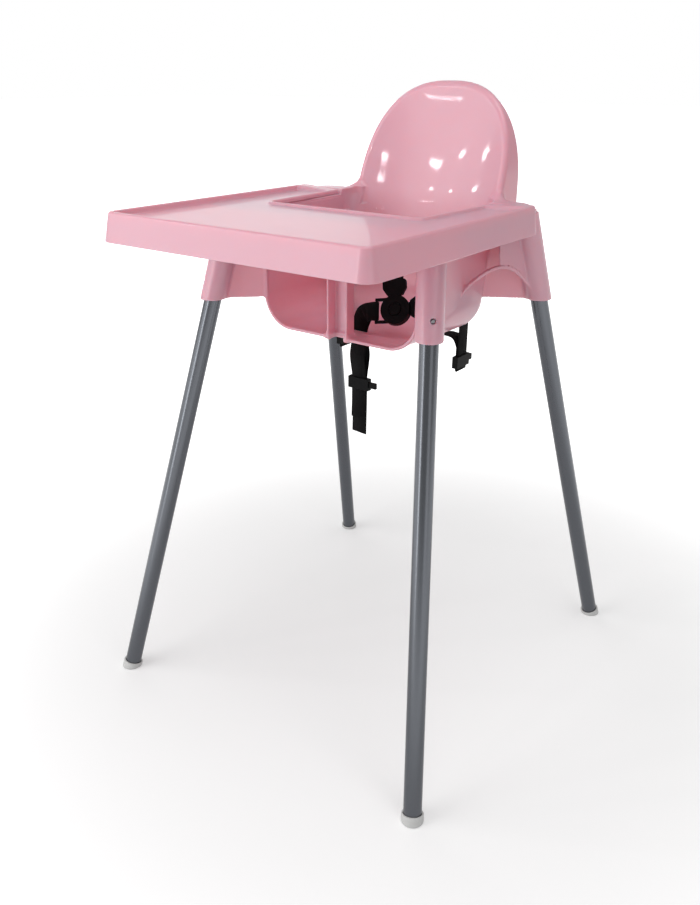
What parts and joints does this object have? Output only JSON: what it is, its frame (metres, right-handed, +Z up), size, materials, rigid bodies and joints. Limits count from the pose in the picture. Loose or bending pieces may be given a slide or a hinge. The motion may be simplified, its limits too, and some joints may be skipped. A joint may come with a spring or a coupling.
{
  "type": "baby high chair",
  "caption": "Moulded bucket-seat baby high chair with splayed steel tube legs, a lift-off skirted tray and a black webbing harness.",
  "frame": {"origin": "On the floor, in the middle of the chair's width and depth.", "axes": "+Z up; the child faces -Y; +X is on the right of someone who stands in front."},
  "size_m": [0.5852, 0.649, 0.8992],
  "materials": {
    "pink_plastic": "glossy moulded polypropylene",
    "painted_steel": "silver-grey powder coat",
    "cap_plastic": "satin",
    "button_steel": "satin",
    "spring_steel": "satin",
    "webbing": "woven polyester",
    "black_plastic": "satin"
  },
  "bodies": {
    "seat": {"seat_shell": "pink_plastic", "leg_front_left": "painted_steel", "leg_front_right": "painted_steel", "leg_back_left": "painted_steel", "leg_back_right": "painted_steel", "foot_cap_front_left": "cap_plastic", "foot_cap_front_right": "cap_plastic", "foot_cap_back_left": "cap_plastic", "foot_cap_back_right": "cap_plastic", "button_spring_front_left": "spring_steel", "button_spring_front_right": "spring_steel", "button_spring_back_left": "spring_steel", "button_spring_back_right": "spring_steel", "buckle_housing": "black_plastic", "buckle_tongue_left": "black_plastic", "buckle_tongue_right": "black_plastic", "crotch_strap": "webbing", "waist_strap_left": "webbing", "waist_strap_right": "webbing"},
    "tray_body": {"tray": "pink_plastic"},
    "button_front_left": {"snap_button_front_left": "button_steel"},
    "button_front_right": {"snap_button_front_right": "button_steel"},
    "button_back_left": {"snap_button_back_left": "button_steel"},
    "button_back_right": {"snap_button_back_right": "button_steel"},
    "release": {"buckle_push_button": "black_plastic"},
    "crotch_adjuster": {"crotch_slider": "black_plastic"},
    "waist_adjuster_left": {"waist_slider_left": "black_plastic"},
    "waist_adjuster_right": {"waist_slider_right": "black_plastic"}
  },
  "joints": [
    {"name": "tray_lift", "type": "slide", "parent": "seat", "child": "tray_body", "axis": [0, 0, 1], "range_m": [0, 0.12]},
    {"name": "snap_front_left", "type": "slide", "parent": "seat", "child": "button_front_left", "axis": [0.693, 0.6699, -0.2665], "range_m": [0, 0.0052], "stiffness_N_per_m": 900, "deforming": ["button_spring_front_left"]},
    {"name": "snap_front_right", "type": "slide", "parent": "seat", "child": "button_front_right", "axis": [-0.693, 0.6699, -0.2665], "range_m": [0, 0.0052], "stiffness_N_per_m": 900, "deforming": ["button_spring_front_right"]},
    {"name": "snap_back_left", "type": "slide", "parent": "seat", "child": "button_back_left", "axis": [0.6995, -0.6573, -0.2805], "range_m": [0, 0.0052], "stiffness_N_per_m": 900, "deforming": ["button_spring_back_left"]},
    {"name": "snap_back_right", "type": "slide", "parent": "seat", "child": "button_back_right", "axis": [-0.6995, -0.6573, -0.2805], "range_m": [0, 0.0052], "stiffness_N_per_m": 900, "deforming": ["button_spring_back_right"]},
    {"name": "buckle_release", "type": "slide", "parent": "seat", "child": "release", "axis": [-0.2504, 0.8514, -0.4608], "range_m": [0, 0.0025], "stiffness_N_per_m": 1500},
    {"name": "crotch_adjust", "type": "slide", "parent": "seat", "child": "crotch_adjuster", "axis": [0, 0, -1], "range_m": [0, 0.015]},
    {"name": "waist_adjust_left", "type": "slide", "parent": "seat", "child": "waist_adjuster_left", "axis": [0, 0, 1], "range_m": [0, 0.008]},
    {"name": "waist_adjust_right", "type": "slide", "parent": "seat", "child": "waist_adjuster_right", "axis": [0, 0, 1], "range_m": [0, 0.008]}
  ]
}
